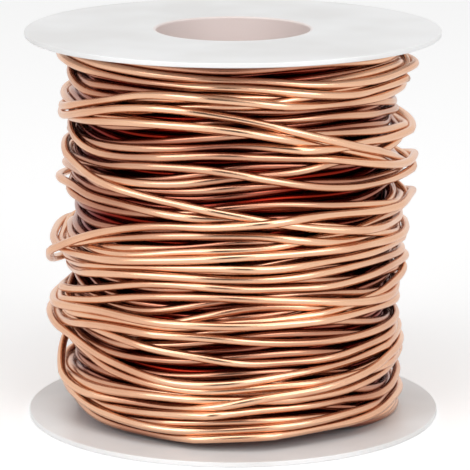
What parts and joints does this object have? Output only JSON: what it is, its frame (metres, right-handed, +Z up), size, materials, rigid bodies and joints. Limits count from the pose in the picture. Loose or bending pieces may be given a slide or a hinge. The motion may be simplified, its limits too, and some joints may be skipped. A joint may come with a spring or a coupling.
{
  "type": "copper wire spool",
  "caption": "Flanged plastic spool on a round hollow barrel, wound with loose criss-crossing layers of bare bright copper wire.",
  "frame": {"origin": "centre of the lower flange's outer face, which the spool stands on", "axes": "+Z up along the bore, through the middle of both flanges; the spool is round about it, so +X and +Y are free"},
  "size_m": [0.065, 0.065, 0.0615],
  "materials": {
    "plastic": "natural milky moulded plastic, smooth, slightly translucent",
    "copper": null
  },
  "bodies": {
    "root": {"spool": "plastic", "wire_winding": "copper"}
  },
  "joints": []
}
